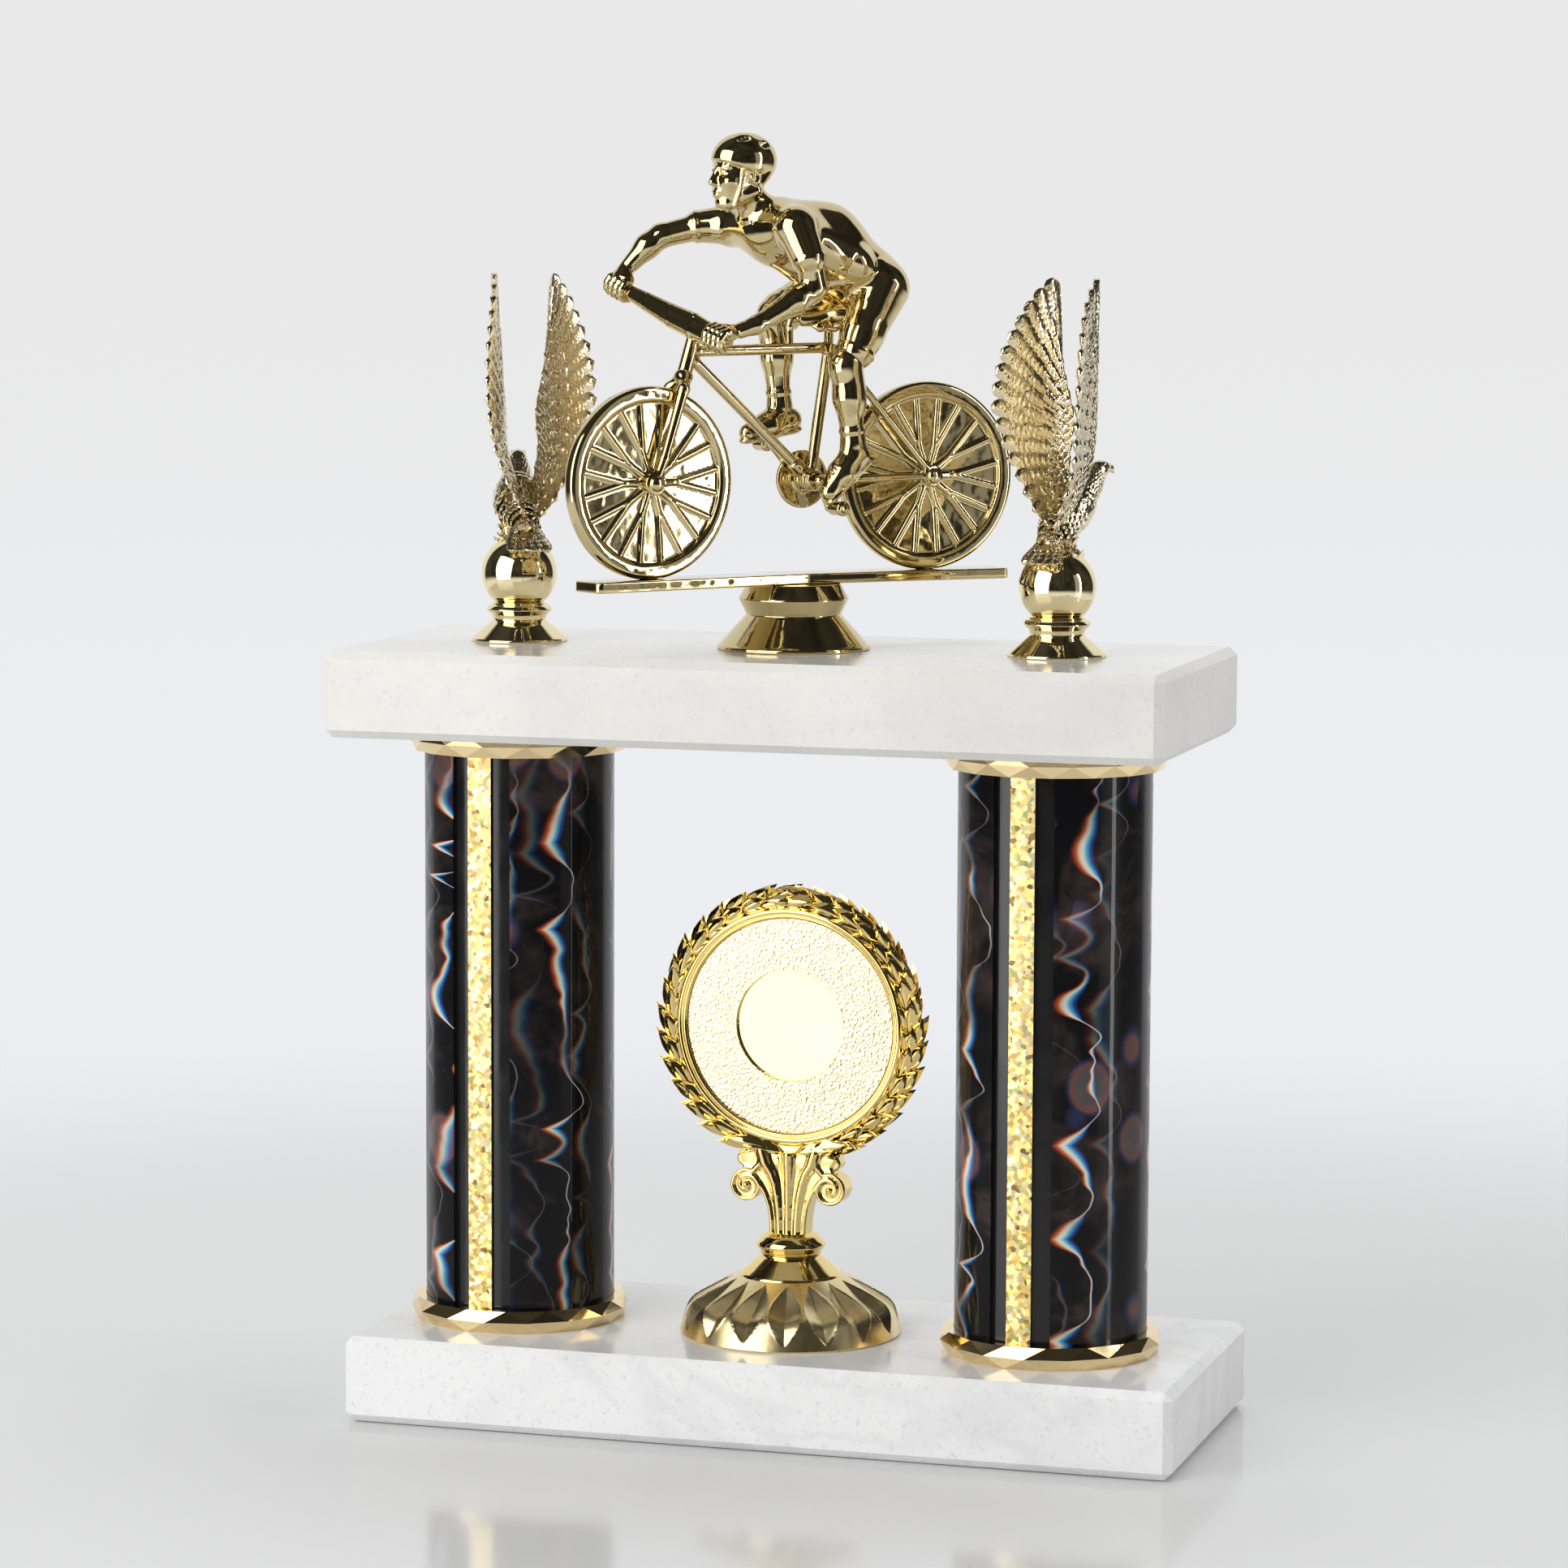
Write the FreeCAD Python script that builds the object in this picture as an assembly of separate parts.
"""Two-column cycling trophy: marble slabs, foil-wrapped columns, wreath holder, eagles and a rider.

Frame: millimetres, +Z up, -Y is the front, origin at the middle of the base slab's underside.
"""

import FreeCAD, Part

import math
import os

from FreeCAD import Placement, Rotation, Vector

os.makedirs("parts", exist_ok=True)

# ---- driving dimensions -------------------------------------------------------------------
slab_width = 200.0
slab_depth = 83.0
slab_thick = 20.4
slab_chamfer = 1.9

column_spacing = 131.6          # between the two column axes
upper_shift = Vector(-3.5, -2.5, 0.0)   # columns and top slab, from the middle of the base slab
column_height = 142.4           # clear height between the slabs, rings included
tube_radius = 22.3
tube_wall = 1.8
film_thick = 0.3
groove_width_deg = 11.4
groove_deep = 0.9
stripe_width_deg = 15.2
stripe_middle_deg = -95.7       # direction of the glitter stripe, just left of the front

ring_radius = 26.1
ring_inner = tube_radius + film_thick + 0.1
ring_height = 5.3
ring_floor = 1.4
ring_facets = 16

rod_radius = 2.95               # M6 threaded rod
rod_hole = 3.3
washer_radius = 8.0
washer_thick = 1.4
nut_flats = 10.0
nut_height = 5.0
rod_pocket_radius = 9.5
rod_pocket_depth = 8.5

bolt_radius = 2.45              # M5 hexagon bolts under the holder and the figure
bolt_hole = 2.8
bolt_flats = 8.0
bolt_head = 3.5
bolt_washer_radius = 5.0
bolt_washer_thick = 1.0
bolt_pocket_radius = 7.0
bolt_pocket_depth = 6.0
bolt_grip = 12.0                # thread length inside the figure's riser

centre_shift = Vector(-1.2, -2.5, 0.0)  # holder and figure axis
holder_turn = -2.5              # the wreath faces the front, turned this far
skirt_radius = 26.3
skirt_height = 18.9
wreath_centre = 73.5            # above the base slab's top
wreath_radius = 32.8
rim_radius = 27.4
recess_radius = 25.6
centre_recess_radius = 13.3
holder_thick = 6.0

figure_turn = 226.8             # heading of the bicycle, seen from above
front_turn = 5.0                # front half of the plate, off the heading
rear_turn = -5.7                # rear half of the plate, off the heading
plate_thick = 2.45
plate_width = 10.7
plate_front = 58.0
plate_rear = 54.0
riser_height = 15.45

wheel_radius = 22.2
wheel_tyre = 3.2
wheel_disc = 1.2
wheel_spokes = 20
wheel_axle_z = 22.1             # the tyres are flattened a little where they meet the plate
front_reach = 40.85
rear_reach = 34.0
bracket = Vector(-4.0, 0.4, 21.6)       # bottom bracket

eagle_turn = {"left": 121.5, "right": 68.0}
wing_sweep = 28.0
wing_thick = 1.3
ball_radius = 9.0
ball_centre = 16.2

base_top = slab_thick
top_bottom = base_top + column_height
top_top = top_bottom + slab_thick
plate_top = top_top + riser_height + plate_thick
side_sign = {"left": -1.0, "right": 1.0}


# ---- helpers -------------------------------------------------------------------------------
def export(name, shape):
    if not shape.isValid():
        print("INVALID", name)
    for solid in shape.Solids:
        if not solid.isClosed() or solid.Volume <= 0:
            print("OPEN", name)
    print(f"{name:24s} solids {len(shape.Solids)} volume {shape.Volume:10.1f}")
    shape.exportStep(f"parts/{name}.step")


def revolve(profile, arc=360.0):
    """Solid of revolution about Z from (radius, height) points."""
    points = [Vector(r, 0, z) for r, z in profile]
    face = Part.Face(Part.makePolygon(points + [points[0]]))
    return face.revolve(Vector(), Vector(0, 0, 1), arc)


def cylinder(radius, low, high, x=0.0, y=0.0):
    return Part.makeCylinder(radius, high - low, Vector(x, y, low))


def rod(start, end, radius, end_radius=None):
    """Round bar between two points, straight or tapered."""
    along = end - start
    last = radius if end_radius is None else end_radius
    if abs(last - radius) < 1e-6:
        return Part.makeCylinder(radius, along.Length, start, along)
    return Part.makeCone(radius, last, along.Length, start, along)


def limb(points):
    """Rounded bar through (x, y, z, radius) points, its runs a little slimmer than its knuckles."""
    slim = 0.97
    joints = [(Vector(x, y, z), r) for x, y, z, r in points]
    pieces = [Part.makeSphere(r, p) for p, r in joints]
    for (p, r), (q, s) in zip(joints, joints[1:]):
        pieces.append(rod(p, q, slim * r, slim * s))
    return fuse(pieces)


def fuse(pieces):
    return pieces[0].multiFuse(pieces[1:]).removeSplitter()


def prism(points, vector):
    face = Part.Face(Part.makePolygon(points + [points[0]]))
    return face.extrude(vector)


def hexagon(flats, low, high):
    corners = [math.radians(60 * k + 30) for k in range(6)]
    reach = flats / math.sqrt(3)
    points = [Vector(reach * math.cos(a), reach * math.sin(a), low) for a in corners]
    return prism(points, Vector(0, 0, high - low))


def shell_sector(inner, outer, low, high, start_deg, sweep_deg):
    """Part of a tube wall between two directions."""
    wall = revolve([(inner, low), (outer, low), (outer, high), (inner, high)], sweep_deg)
    wall.rotate(Vector(), Vector(0, 0, 1), start_deg)
    return wall


def moved(shape, shift):
    copy = shape.copy()
    copy.translate(shift)
    return copy


def placed(shape, shift, turn_deg):
    copy = shape.copy()
    copy.Placement = Placement(shift, Rotation(Vector(0, 0, 1), turn_deg)).multiply(copy.Placement)
    return copy


def column_axis(side):
    return upper_shift + Vector(side_sign[side] * column_spacing / 2, 0, 0)


# ---- marble slabs ---------------------------------------------------------------------------
def slab(middle, low):
    corner = middle + Vector(-slab_width / 2, -slab_depth / 2, low)
    block = Part.makeBox(slab_width, slab_depth, slab_thick, corner)
    return block.makeChamfer(slab_chamfer, block.Edges)


def base_slab():
    block = slab(Vector(), 0)
    for side in side_sign:
        axis = column_axis(side)
        block = block.cut(cylinder(rod_hole, -1, base_top + 1, axis.x, axis.y))
        block = block.cut(cylinder(rod_pocket_radius, -1, rod_pocket_depth, axis.x, axis.y))
    block = block.cut(cylinder(bolt_hole, -1, base_top + 1, centre_shift.x, centre_shift.y))
    pocket = cylinder(bolt_pocket_radius, -1, bolt_pocket_depth, centre_shift.x, centre_shift.y)
    return block.cut(pocket)


def top_slab():
    block = slab(upper_shift, top_bottom)
    for side in side_sign:
        axis = column_axis(side)
        block = block.cut(cylinder(rod_hole, top_bottom - 1, top_top + 1, axis.x, axis.y))
    x, y = centre_shift.x, centre_shift.y
    block = block.cut(cylinder(bolt_hole, top_bottom - 1, top_top + 1, x, y))
    return block.cut(cylinder(bolt_pocket_radius, top_bottom - 1, top_bottom + bolt_pocket_depth, x, y))


# ---- columns --------------------------------------------------------------------------------
stripe_start = stripe_middle_deg - stripe_width_deg / 2
stripe_end = stripe_middle_deg + stripe_width_deg / 2
tube_low = base_top + ring_floor
tube_high = top_bottom - ring_floor


def column_tube():
    tube = cylinder(tube_radius, tube_low, tube_high).cut(
        cylinder(tube_radius - tube_wall, tube_low - 1, tube_high + 1))
    floor = tube_radius - groove_deep
    for start in (stripe_start - groove_width_deg, stripe_end):
        groove = shell_sector(floor, tube_radius + 1, tube_low - 1, tube_high + 1, start, groove_width_deg)
        tube = tube.cut(groove)
    return tube


def column_film(start, sweep):
    return shell_sector(tube_radius, tube_radius + film_thick, tube_low, tube_high, start, sweep)


def column_ring():
    """Cup with a sixteen-sided rim cut into triangular facets, floor at the bottom."""
    step = 360.0 / ring_facets
    rim_reach = ring_radius - 0.9

    def corners(radius, height, offset):
        angles = [math.radians(step * (k + offset)) for k in range(ring_facets)]
        return [Vector(radius * math.cos(a), radius * math.sin(a), height) for a in angles]

    low = corners(rim_reach, 0, 0.5)
    middle = corners(ring_radius, ring_height / 2, 0.0)
    high = corners(rim_reach, ring_height, 0.5)
    faces = [Part.Face(Part.makePolygon(loop + [loop[0]])) for loop in (low, high)]
    for k in range(ring_facets):
        after = (k + 1) % ring_facets
        for loop in (low, high):
            triangle = [loop[k], middle[k], middle[after]]
            faces.append(Part.Face(Part.makePolygon(triangle + [triangle[0]])))
            triangle = [loop[k], middle[after], loop[after]]
            faces.append(Part.Face(Part.makePolygon(triangle + [triangle[0]])))
    body = Part.Solid(Part.Shell(faces))
    if body.Volume < 0:
        body.reverse()
    body = body.cut(cylinder(ring_inner, ring_floor, ring_height + 1))
    return body.cut(cylinder(rod_hole, -1, ring_height))


def upside_down(shape, height):
    copy = shape.copy()
    copy.rotate(Vector(), Vector(1, 0, 0), 180)
    copy.translate(Vector(0, 0, height))
    return copy


# ---- fasteners ------------------------------------------------------------------------------
def washer(outer, inner, low, thick):
    return cylinder(outer, low, low + thick).cut(cylinder(inner, low - 1, low + thick + 1))


def tie_rod():
    return cylinder(rod_radius, 1.0, top_top + 8.0)


def tie_rod_nut():
    high = rod_pocket_depth - washer_thick
    return hexagon(nut_flats, high - nut_height, high).cut(cylinder(rod_radius, 0, high + 1))


def tie_rod_washer():
    return washer(washer_radius, rod_hole, rod_pocket_depth - washer_thick, washer_thick)


def hex_bolt(seat, reach):
    """Head under the seat height, shank up to the reach height."""
    under = seat - bolt_washer_thick
    return hexagon(bolt_flats, under - bolt_head, under).fuse(cylinder(bolt_radius, under, reach))


# ---- wreath holder (its own frame: axis at the middle, z = 0 on the base slab) -------------------
def holder_skirt():
    profile = [(bolt_radius, 0), (skirt_radius, 0), (skirt_radius, 0.8), (25.0, 6.4), (11.8, 14.4),
               (11.8, 15.0), (7.1, skirt_height), (bolt_radius, skirt_height)]
    body = revolve(profile)
    petal_count = 16
    slope = math.degrees(math.atan2(8.0, 13.2))
    for k in range(petal_count):
        tool = Part.makeSphere(12.0)
        stretch = FreeCAD.Matrix()
        stretch.scale(0.62, 0.25, 0.14)
        tool = tool.transformGeometry(stretch)
        tool.rotate(Vector(), Vector(0, 1, 0), slope)
        tool.translate(Vector(19.6, 0, 11.1))
        tool.rotate(Vector(), Vector(0, 0, 1), 360.0 * (k + 0.5) / petal_count)
        body = body.cut(tool)
    return body


def holder_stem():
    """Collar, flared fluted shaft and two scrolls that carry the wreath."""
    low = skirt_height
    collar = revolve([(0, low), (7.1, low), (8.2, low + 2.3), (7.6, low + 4.0), (6.0, low + 5.4),
                      (0, low + 5.4)])
    widths = [(low + 5.0, 4.3), (low + 11.0, 4.9), (low + 16.0, 6.1), (low + 21.0, 9.4), (low + 24.5, 13.0)]
    left = [Vector(-w, 0, z) for z, w in widths]
    right = [Vector(w, 0, z) for z, w in reversed(widths)]
    depth = 6.4
    shaft = prism(left + right, Vector(0, depth, 0))
    shaft.translate(Vector(0, -depth / 2, 0))
    pieces = [collar, shaft]
    for side in (-1, 1):
        scroll = Part.makeCylinder(3.7, depth + 0.6, Vector(side * 10.6, -depth / 2 - 0.3, 35.8), Vector(0, 1, 0))
        pieces.append(scroll)
    body = fuse(pieces)
    outline = Part.makeCylinder(wreath_radius, 20, Vector(0, -10, wreath_centre), Vector(0, 1, 0))
    return body.cut(outline).cut(cylinder(bolt_radius, 0, low + 4.0))


def leaf(root_radius, angle_deg, lean_deg, length, width, low, thick):
    """One laurel leaf in the XZ plane of the wreath, pointing round the ring."""
    half = width / 2
    outline = [(0, 0), (0.3 * length, half), (0.65 * length, 0.8 * half), (length, 0),
               (0.65 * length, -0.8 * half), (0.3 * length, -half)]
    solid = prism([Vector(x, low, z) for x, z in outline], Vector(0, thick, 0))
    turn = Rotation(Vector(0, -1, 0), angle_deg)
    start = turn.multVec(Vector(root_radius, 0, 0))
    solid.Placement = Placement(start, Rotation(Vector(0, -1, 0), angle_deg + 90 + lean_deg))
    return solid


def wreath_ring():
    """Rim with two stepped recesses, a foot on the stem, and laurel leaves that rise on both sides."""
    half = holder_thick / 2
    foot = Part.makeBox(24.0, 3.2, 8.0, Vector(-12.0, -1.6, -wreath_radius - 0.5))
    pieces = [Part.makeCylinder(rim_radius, holder_thick, Vector(0, -half, 0), Vector(0, 1, 0)), foot]
    pairs = 13
    for k in range(pairs):
        climb = 8 + 164.0 * k / (pairs - 1)
        for direction in (1, -1):
            angle = -90 + direction * climb
            for root, lean in ((29.2, -17), (27.6, 17)):
                along = lean if direction == 1 else 180 - lean
                pieces.append(leaf(root, angle, along, 11.0, 4.6, -half + 0.6, holder_thick - 1.4))
    body = fuse(pieces)
    outside = Part.makeCylinder(wreath_radius, 20, Vector(0, -10, 0), Vector(0, 1, 0))
    body = body.common(outside)
    recess = Part.makeCylinder(recess_radius, 5, Vector(0, -half + 1.4 - 5, 0), Vector(0, 1, 0))
    centre = Part.makeCylinder(centre_recess_radius, 5, Vector(0, -half + 2.4 - 5, 0), Vector(0, 1, 0))
    body = body.cut(recess).cut(centre)
    body.translate(Vector(0, 0, wreath_centre))
    return body


# ---- figure (its own frame: +X is the heading, +Y the rider's left, z = 0 on the plate) -----------
def off_line(x):
    """Sideways place of the bent centre line of plate and bicycle."""
    turn = front_turn if x > 0 else rear_turn
    return x * math.tan(math.radians(turn))


def on_line(x, z, aside=0.0):
    return Vector(x, off_line(x) + aside, z)


def figure_riser():
    low = -plate_thick - riser_height
    profile = [(0, 0), (18.0, 0), (18.0, 0.9), (17.4, 1.4), (11.15, 8.2), (13.0, 11.9),
               (10.9, riser_height), (0, riser_height)]
    body = revolve(profile).cut(cylinder(bolt_radius, -1, bolt_grip))
    return moved(body, Vector(0, 0, low))


def figure_plate():
    half = plate_width / 2
    nip = 1.0
    strips = []
    for reach, turn in ((plate_front, front_turn), (plate_rear, 180 + rear_turn)):
        outline = [(-1.0, -half), (reach - nip, -half), (reach, -half + nip), (reach, half - nip),
                   (reach - nip, half), (-1.0, half)]
        strip = prism([Vector(x, y, -plate_thick) for x, y in outline], Vector(0, 0, plate_thick))
        strip.rotate(Vector(), Vector(0, 0, 1), turn)
        strips.append(strip)
    strips.append(cylinder(half, -plate_thick, 0))
    return fuse(strips)


def wheel(reach, turn_deg):
    """Disc wheel with a round tyre and raised spokes on both faces."""
    ring = Part.makeTorus(wheel_radius - wheel_tyre / 2, wheel_tyre / 2, Vector(), Vector(0, 1, 0))
    disc = Part.makeCylinder(wheel_radius - 2.2, wheel_disc, Vector(0, -wheel_disc / 2, 0), Vector(0, 1, 0))
    rim_inner = Part.makeCylinder(wheel_radius - 4.0, 9, Vector(0, -4.5, 0), Vector(0, 1, 0))
    rim = Part.makeCylinder(wheel_radius - 1.6, 2.2, Vector(0, -1.1, 0), Vector(0, 1, 0)).cut(rim_inner)
    hub = Part.makeCylinder(2.6, 5.2, Vector(0, -2.6, 0), Vector(0, 1, 0))
    pieces = [ring, disc, rim, hub]
    for k in range(wheel_spokes):
        spoke = Part.makeBox(wheel_radius - 5.5, 1.9, 0.7, Vector(2.0, -0.95, -0.35))
        spoke.rotate(Vector(), Vector(0, 1, 0), 360.0 * k / wheel_spokes)
        pieces.append(spoke)
    body = fuse(pieces)
    body.rotate(Vector(), Vector(0, 0, 1), turn_deg)
    body.translate(on_line(reach * math.cos(math.radians(turn_deg)), wheel_axle_z))
    return body.cut(Part.makeBox(200, 200, 10, Vector(-100, -100, -10)))


front_hub_x = front_reach * math.cos(math.radians(front_turn))
rear_hub_x = -rear_reach * math.cos(math.radians(rear_turn))
head_top = on_line(28.4, 55.2)
head_low = on_line(31.2, 46.2)
seat_top = on_line(-8.6, 52.4)
stay_spread = 3.3


def bike_frame():
    """Head, top, down and seat tubes, the bracket shell, and a pair of seat and chain stays."""
    pieces = [rod(head_low, head_top, 1.7),
              rod(on_line(28.2, 52.0), seat_top, 1.3),
              rod(on_line(28.6, 50.0), bracket + Vector(0, 0.1, 0), 1.3),
              rod(seat_top, bracket, 1.35),
              Part.makeSphere(1.75, seat_top),
              Part.makeCylinder(2.3, 6.0, bracket - Vector(0, 2.4, 0), Vector(0, 1, 0))]
    for side in (-1, 1):
        dropout = on_line(rear_hub_x, wheel_axle_z, side * stay_spread)
        shoulder = on_line(-12.0, 47.5, side * stay_spread)
        heel = on_line(-10.0, 21.6, side * stay_spread)
        lug = seat_top + Vector(-0.6, side * 0.5, -1.5)
        root = bracket + Vector(-1.0, side * 1.2, 0)
        pieces.append(rod(lug, shoulder, 0.9))
        pieces.append(Part.makeSphere(1.0, shoulder))
        pieces.append(rod(shoulder, dropout, 0.85))
        pieces.append(rod(root, heel, 0.9))
        pieces.append(Part.makeSphere(1.0, heel))
        pieces.append(rod(heel, dropout + Vector(0.2, 0, 0), 0.8))
        pieces.append(Part.makeCylinder(1.9, 1.5, dropout - Vector(0, 0.75, 0), Vector(0, 1, 0)))
    return fuse(pieces).cut(hub_space(rear_hub_x, rear_turn))


def hub_space(x, turn_deg):
    """Room for a wheel's hub between the dropouts."""
    space = Part.makeCylinder(2.7, 5.3, Vector(0, -2.65, 0), Vector(0, 1, 0))
    space.rotate(Vector(), Vector(0, 0, 1), turn_deg)
    space.translate(on_line(x, wheel_axle_z))
    return space


def fork(frame):
    """Crown and two blades; the front hub sits between them."""
    pieces = [Part.makeSphere(2.2, head_low)]
    for side in (-1, 1):
        dropout = on_line(front_hub_x, wheel_axle_z, side * stay_spread)
        shoulder = on_line(33.0, 43.6, side * stay_spread)
        root = head_low + Vector(0, side * 0.8, -0.4)
        pieces.append(limb([(*root, 1.4), (*shoulder, 1.3), (*dropout, 0.9)]))
        pieces.append(Part.makeCylinder(1.8, 1.3, dropout - Vector(0, 0.65, 0), Vector(0, 1, 0)))
    return fuse(pieces).cut(hub_space(front_hub_x, front_turn)).cut(frame)


grip_near = (25.3, 12.5, 55.6)
grip_far = (33.6, -24.2, 66.6)


def handlebar(frame):
    bar = limb([(*grip_near, 1.9), (27.3, 3.0, 58.2, 2.6), (*grip_far, 1.5)])
    stem = rod(head_top, Vector(27.6, 2.6, 58.0), 1.5)
    return fuse([bar, stem]).cut(frame)


def crank_arm(end, pedal, side):
    """Crank from its end on the axle to a pedal that points outward."""
    knuckle = Vector(pedal.x, end.y, pedal.z)
    arm = limb([(*end, 1.3), (*knuckle, 1.15)])
    barrel = Part.makeCylinder(1.7, 7.2, knuckle + Vector(0, side * 0.3, 0), Vector(0, side, 0))
    return fuse([arm, barrel])


def crank_set(frame):
    """Chainring disc, two cranks and two pedals."""
    near = crank_arm(bracket + Vector(0, 4.8, 0), Vector(-6.5, 9.0, 15.3), 1)
    far = crank_arm(bracket - Vector(0, 4.8, 0), Vector(3.5, -8.0, 29.8), -1)
    ring = Part.makeCylinder(6.8, 1.2, bracket - Vector(0, 4.4, 0), Vector(0, 1, 0))
    return Part.makeCompound([near.cut(frame), fuse([far, ring]).cut(frame)])


def saddle(frame):
    """Saddle on its post, with a bent stay from the nose down to the top tube."""
    seat = limb([(-2.5, 0, 58.6, 1.5), (-8.0, 0, 59.2, 2.2), (-14.0, 0.6, 60.2, 3.4)])
    post = rod(seat_top, Vector(-8.9, 0.6, 58.6), 1.1)
    stay = limb([(1.6, 0.3, 53.2, 0.95), (1.6, 0.3, 58.0, 0.95), (0.6, 0.2, 59.0, 0.95), (-3.0, 0, 58.9, 0.95)])
    return fuse([seat, post, stay]).cut(frame)


def rider(around):
    """Crouched rider: torso, shorts, head with cap, and both arms to the grips."""
    torso = limb([(-19.0, 0, 66.5, 8.0), (-6.0, 0, 74.8, 8.2), (6.5, -0.5, 78.6, 7.2)])
    shoulders = limb([(7.0, 12.0, 81.0, 4.6), (9.0, -1.0, 80.6, 5.4), (11.0, -14.0, 81.0, 4.6)])
    neck = limb([(10.0, -0.8, 82.5, 3.8), (12.5, -0.4, 88.0, 3.7)])
    head = limb([(14.0, 0, 92.6, 7.3), (17.6, 0, 89.4, 5.0), (19.6, 0, 86.6, 2.9)])
    near_arm = limb([(7.0, 13.0, 80.6, 4.4), (3.3, 14.5, 66.5, 3.2), (18.5, 13.5, 57.9, 2.2),
                     (25.3, 12.6, 56.0, 2.9)])
    far_arm = limb([(11.5, -15.0, 81.0, 4.3), (24.0, -21.0, 78.3, 3.0), (31.5, -24.0, 70.4, 2.2),
                    (33.6, -24.2, 66.8, 2.8)])
    near_thigh = limb([(-19.5, 6.0, 66.0, 7.0), (-12.2, 9.0, 52.0, 5.0)])
    far_thigh = limb([(-18.5, -6.0, 66.0, 6.8), (-1.5, -8.3, 60.8, 4.9)])
    body = fuse([torso, shoulders, neck, head, near_arm, far_arm, near_thigh, far_thigh])
    return body.cut(around)


def lower_leg(knee, calf, ankle, heel, toe, around):
    leg = limb([(*knee, 3.9), (*calf, 3.5), (*ankle, 2.4), (*heel, 2.5), (*toe, 2.1)])
    return leg.cut(around)


def figure_shapes():
    """Every piece of the figure, each cut to its neighbours."""
    frame = bike_frame()
    bar = handlebar(frame)
    cranks = crank_set(frame)
    seat = saddle(frame)
    body = rider(Part.makeCompound([bar, seat, frame]))
    around = Part.makeCompound([body, cranks, frame])
    left_leg = lower_leg((-9.6, 9.0, 48.6), (-10.6, 9.2, 40.5), (-11.2, 9.0, 31.0),
                         (-12.8, 9.0, 27.3), (-4.8, 9.0, 19.6), around)
    right_leg = lower_leg((0.9, -8.5, 59.2), (0.2, -8.3, 50.0), (-0.4, -8.0, 38.0),
                          (-3.0, -8.0, 35.2), (7.0, -8.0, 32.6), around)
    return {"figure_riser": figure_riser(), "figure_plate": figure_plate(),
            "front_wheel": wheel(front_reach, front_turn), "rear_wheel": wheel(-rear_reach, rear_turn),
            "bike_frame": frame, "fork": fork(frame), "handlebar": bar, "crank_set": cranks,
            "saddle": seat, "rider": body, "left_lower_leg": left_leg, "right_lower_leg": right_leg}


# ---- eagles (their own frame: +X is the heading, z = 0 on the top slab) ---------------------------
insert_radius = 4.0
insert_height = 9.0


def eagle_pedestal():
    profile = [(0, 0), (11.5, 0), (11.5, 0.8), (6.3, 5.0), (6.6, 6.4), (8.0, 7.6), (7.2, 8.6), (6.6, 8.7),
               (6.6, 9.2), (0, 9.2)]
    foot = revolve(profile)
    ball = Part.makeSphere(ball_radius, Vector(0, 0, ball_centre))
    ball = ball.common(cylinder(20, 9.2, 60))
    return fuse([foot, ball]).cut(cylinder(insert_radius, -1, insert_height))


def threaded_insert():
    return cylinder(insert_radius, 0, insert_height).cut(cylinder(rod_radius + 0.05, -1, insert_height + 1))


def eagle_wing(side):
    """Flat blade with the outline of a raised wing, swept back and out."""
    outline = [(0.0, 33.0), (0.0, 60.0), (0.6, 84.0), (2.0, 86.0), (5.0, 84.6), (8.3, 81.0), (12.9, 75.2),
               (18.4, 67.6), (20.8, 60.0), (21.4, 54.0), (20.4, 47.4), (17.3, 39.0), (13.0, 31.0),
               (8.0, 27.0), (3.0, 28.0)]
    points = [Vector(-c, 0, z) for c, z in outline]
    blade = prism(points, Vector(0, wing_thick, 0))
    blade.translate(Vector(0, -wing_thick / 2, 0))
    blade.rotate(Vector(), Vector(0, 0, 1), -side * wing_sweep)
    blade.translate(Vector(4.6, side * 3.4, 0))
    lean = math.degrees(math.atan2(2.6, 52.0))
    blade.rotate(Vector(4.6, side * 3.4, 33.0), Vector(1, 0, 0), -side * lean)
    return blade


def eagle():
    body = limb([(-3.0, 0, 28.6, 3.4), (1.0, 0, 30.6, 4.8), (5.6, -0.6, 35.2, 5.0), (10.2, -1.6, 40.0, 3.2),
                 (13.2, -2.2, 43.4, 3.0)])
    beak = limb([(13.6, -2.4, 43.2, 2.2), (17.0, -3.0, 42.4, 0.8)])
    tail = prism([Vector(-1, -2.4, 28.0), Vector(-1, 2.4, 28.0), Vector(-9.4, 4.6, 23.6),
                  Vector(-9.4, -4.6, 23.6)], Vector(0.5, 0, 1.6))
    legs = [limb([(1.0, side * 2.4, 29.0, 2.2), (0.6, side * 2.6, 24.4, 1.9)]) for side in (-1, 1)]
    body = fuse([body, beak, tail, eagle_wing(1), eagle_wing(-1), *legs])
    return body.cut(Part.makeSphere(ball_radius, Vector(0, 0, ball_centre)))


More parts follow.
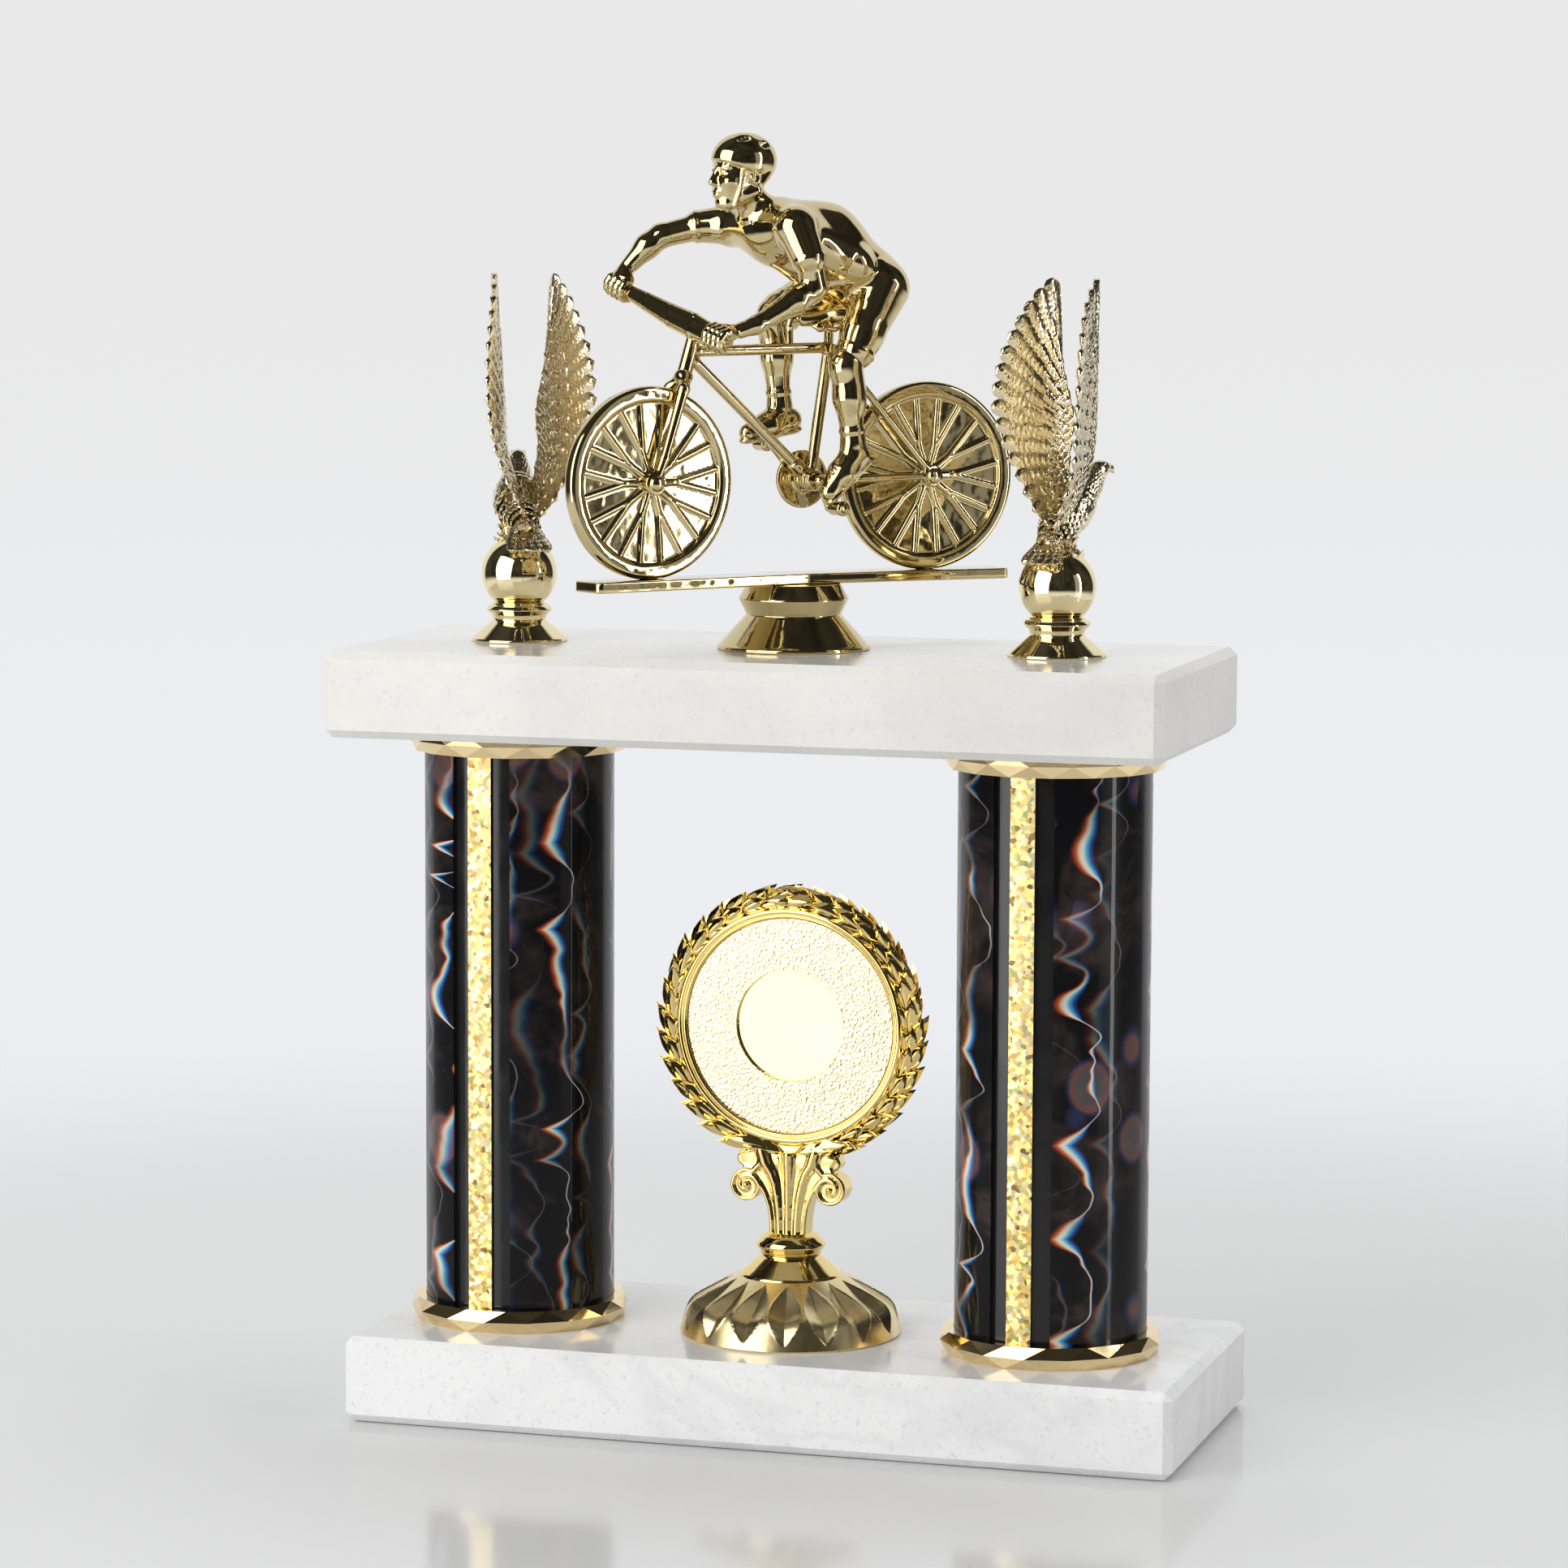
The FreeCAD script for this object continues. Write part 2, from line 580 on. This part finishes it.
# ---- write every sub-part -------------------------------------------------------------------
def write_slabs_and_columns():
    export("base_slab", base_slab())
    export("top_slab", top_slab())
    tube = column_tube()
    stripe = column_film(stripe_start, stripe_width_deg)
    foil = column_film(stripe_end + groove_width_deg, 360 - stripe_width_deg - 2 * groove_width_deg)
    ring = column_ring()
    for side in side_sign:
        axis = column_axis(side)
        export(f"column_tube_{side}", moved(tube, axis))
        export(f"column_foil_{side}", moved(foil, axis))
        export(f"column_stripe_{side}", moved(stripe, axis))
        export(f"ring_bottom_{side}", moved(ring, axis + Vector(0, 0, base_top)))
        export(f"ring_top_{side}", moved(upside_down(ring, top_bottom), axis))
        export(f"tie_rod_{side}", moved(tie_rod(), axis))
    axes = [column_axis(side) for side in side_sign]
    export("tie_rod_nuts", Part.makeCompound([moved(tie_rod_nut(), axis) for axis in axes]))
    export("tie_rod_washers", Part.makeCompound([moved(tie_rod_washer(), axis) for axis in axes]))


def write_holder():
    origin = centre_shift + Vector(0, 0, base_top)
    for name, shape in (("holder_skirt", holder_skirt()), ("holder_stem", holder_stem()),
                        ("wreath_holder", wreath_ring())):
        export(name, placed(shape, origin, holder_turn))
    seat = bolt_pocket_depth
    export("holder_bolt", moved(hex_bolt(seat, base_top + skirt_height + 4.0), centre_shift))
    ring = washer(bolt_washer_radius, bolt_radius, seat - bolt_washer_thick, bolt_washer_thick)
    export("holder_washer", moved(ring, centre_shift))


def write_figure():
    origin = centre_shift + Vector(0, 0, plate_top)
    for name, shape in figure_shapes().items():
        export(name, placed(shape, origin, figure_turn))
    seat = top_bottom + bolt_pocket_depth
    export("figure_bolt", moved(hex_bolt(seat, top_top + bolt_grip), centre_shift))
    ring = washer(bolt_washer_radius, bolt_radius, seat - bolt_washer_thick, bolt_washer_thick)
    export("figure_washer", moved(ring, centre_shift))


def write_eagles():
    for side in side_sign:
        origin = column_axis(side) + Vector(0, 0, top_top)
        export(f"eagle_{side}", placed(eagle(), origin, eagle_turn[side]))
        export(f"eagle_pedestal_{side}", placed(eagle_pedestal(), origin, eagle_turn[side]))
        export(f"eagle_insert_{side}", moved(threaded_insert(), origin))


write_slabs_and_columns()
write_holder()
write_figure()
write_eagles()
